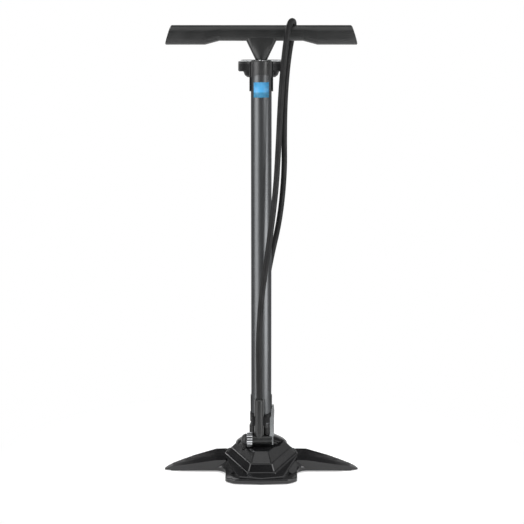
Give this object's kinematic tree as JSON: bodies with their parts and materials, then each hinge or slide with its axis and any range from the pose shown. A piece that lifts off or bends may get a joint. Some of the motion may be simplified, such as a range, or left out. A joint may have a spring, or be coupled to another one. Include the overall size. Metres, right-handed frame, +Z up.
{
  "type": "floor bike pump",
  "caption": "Tall floor bike pump with winged foot, T-handle, flat gauge behind the barrel top, and a lever chuck docked in front on its hose.",
  "frame": {"origin": "on the floor, on the barrel's axis, in the middle of the floor space that foot and gauge cover", "axes": "+Z up along the barrel, -Y towards the front foot and the docked chuck, +Y towards the gauge, +X to the right in the front view"},
  "size_m": [0.308, 0.19, 0.7093],
  "materials": {
    "foot_paint": "gloss black paint on cast aluminium",
    "rubber": "matte",
    "black_plastic": "satin black",
    "gunmetal": "satin metallic grey paint",
    "brass": "plain",
    "steel": "plain",
    "chrome": "polished",
    "silver": "satin",
    "hose_rubber": "satin black",
    "white_plastic": "plain",
    "clear": "clear",
    "dial_face": "printed with plain numbers",
    "needle_red": "gloss",
    "handle_grey": "satin dark grey",
    "chuck_grey": "satin dark grey",
    "label_blue": "bare blue label"
  },
  "bodies": {
    "stand": {"base": "foot_paint", "rubber_feet": "rubber", "barrel_nut": "black_plastic", "barrel": "gunmetal", "valve_body": "brass", "valve_spring": "steel", "valve_plug": "brass", "hose_outlet": "steel", "hose_ferrule": "black_plastic", "air_pipe": "steel", "pipe_nut": "brass", "pipe_clip": "black_plastic", "hose": "hose_rubber", "barrel_cap": "black_plastic", "rod_guide": "white_plastic", "rod_wiper": "rubber", "gauge_bracket": "black_plastic", "bracket_screw": "steel", "gauge_housing": "black_plastic", "gauge_bezel": "black_plastic", "gauge_lens": "clear", "gauge_dial": "dial_face", "gauge_spindle": "brass", "gauge_movement": "brass", "bourdon_tube": "brass", "chuck_body": "chuck_grey", "chuck_ring": "chrome", "chuck_gasket": "rubber", "lever_pin": "steel", "chuck_stem": "chuck_grey", "chuck_clip": "black_plastic", "chuck_dock": "black_plastic"},
    "plunger": {"handle": "handle_grey", "handle_insert": "steel", "piston_rod": "chrome", "rod_bumper": "rubber", "piston": "black_plastic", "piston_seal": "rubber", "piston_washer": "steel", "piston_nut": "steel"},
    "needle": {"gauge_needle": "needle_red"},
    "lever": {"chuck_lever": "silver"},
    "chuck_push_pin": {"chuck_plunger": "brass"},
    "check_ball": {"valve_ball": "steel"}
  },
  "joints": [
    {"name": "plunger_slide", "type": "slide", "parent": "stand", "child": "plunger", "axis": [0, 0, 1], "range_m": [0, 0.532], "deforming": ["hose"]},
    {"name": "needle_turn", "type": "hinge", "parent": "stand", "child": "needle", "pos_m": [0, 0.0585, 0.6382], "axis": [0, 0, -1], "range_deg": [0, 270], "stiffness_Nm_per_rad": 0.0002},
    {"name": "lever_swing", "type": "hinge", "parent": "stand", "child": "lever", "pos_m": [0.0125, -0.029, 0.0528], "axis": [0, 1, 0], "range_deg": [0, 90]},
    {"name": "push_pin_slide", "type": "slide", "parent": "stand", "child": "chuck_push_pin", "axis": [1, 0, 0], "range_m": [0, 0.0012]},
    {"name": "check_ball_lift", "type": "slide", "parent": "stand", "child": "check_ball", "axis": [0, 0, -1], "range_m": [0, 0.0015], "stiffness_N_per_m": 150, "springref_m": -0.001, "deforming": ["valve_spring"]}
  ],
  "couplings": [
    {"joint": "push_pin_slide", "follows": "lever_swing", "m_per_rad": 0.00076}
  ]
}
